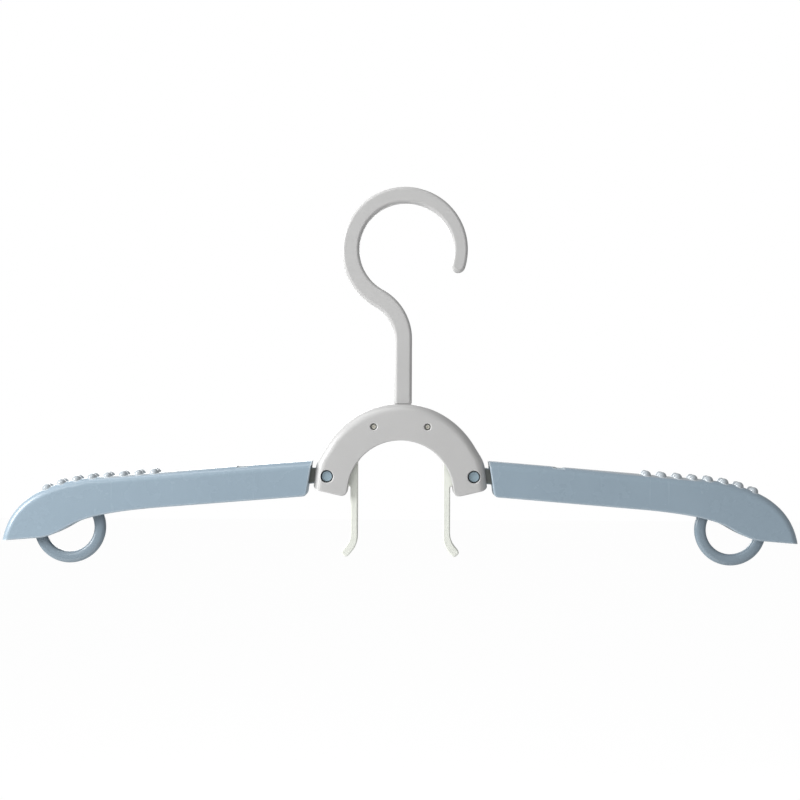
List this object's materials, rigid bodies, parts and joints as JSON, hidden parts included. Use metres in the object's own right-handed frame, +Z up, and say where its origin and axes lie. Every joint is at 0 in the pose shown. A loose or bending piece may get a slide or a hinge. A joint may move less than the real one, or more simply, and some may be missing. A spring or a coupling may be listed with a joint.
{
  "type": "folding travel hanger",
  "caption": "Folding travel clothes hanger with a swivel hook, an arched body, drop-down arms with grip bumps and accessory rings, and sprung squeeze levers.",
  "frame": {"origin": "the point inside the top of the hook that bears on a rail", "axes": "+Z up, +X along the spread arms towards the hook's open side, -Y towards the front face"},
  "size_m": [0.4206, 0.014, 0.2005],
  "materials": {
    "warm_grey_plastic": "satin moulded plastic, warm pale grey",
    "blue_grey_plastic": "satin moulded plastic, steel blue-grey",
    "link_blue_plastic": "smooth moulded plastic, blue",
    "ivory_plastic": "smooth ivory plastic, slightly translucent",
    "spring_steel": "drawn spring wire"
  },
  "bodies": {
    "hook": {"hook": "warm_grey_plastic"},
    "arch": {"arch_front_shell": "warm_grey_plastic", "arch_rear_shell": "warm_grey_plastic", "left_lever_spring": "spring_steel", "right_lever_spring": "spring_steel"},
    "left_arm": {"left_arm": "blue_grey_plastic", "left_link": "link_blue_plastic", "left_ring": "blue_grey_plastic"},
    "right_arm": {"right_arm": "blue_grey_plastic", "right_link": "link_blue_plastic", "right_ring": "blue_grey_plastic"},
    "left_lever": {"left_lever": "ivory_plastic"},
    "right_lever": {"right_lever": "ivory_plastic"}
  },
  "joints": [
    {"name": "hook_swivel", "type": "hinge", "parent": "hook", "child": "arch", "pos_m": [-0.0007, 0, -0.1069], "axis": [0, 0, 1], "continuous": true},
    {"name": "left_arm_fold", "type": "hinge", "parent": "arch", "child": "left_arm", "pos_m": [-0.0407, 0, -0.14537], "axis": [0, -1, 0], "range_deg": [0, 85.4]},
    {"name": "right_arm_fold", "type": "hinge", "parent": "arch", "child": "right_arm", "pos_m": [0.0369, 0, -0.14537], "axis": [0, 1, 0], "range_deg": [0, 85.4]},
    {"name": "left_lever_squeeze", "type": "hinge", "parent": "arch", "child": "left_lever", "pos_m": [-0.0161, 0, -0.11907], "axis": [0, -1, 0], "range_deg": [0, 8], "stiffness_Nm_per_rad": 0.3, "springref_deg": -5.73, "deforming": ["left_lever_spring"]},
    {"name": "right_lever_squeeze", "type": "hinge", "parent": "arch", "child": "right_lever", "pos_m": [0.0123, 0, -0.11907], "axis": [0, 1, 0], "range_deg": [0, 8], "stiffness_Nm_per_rad": 0.3, "springref_deg": -5.73, "deforming": ["right_lever_spring"]}
  ]
}
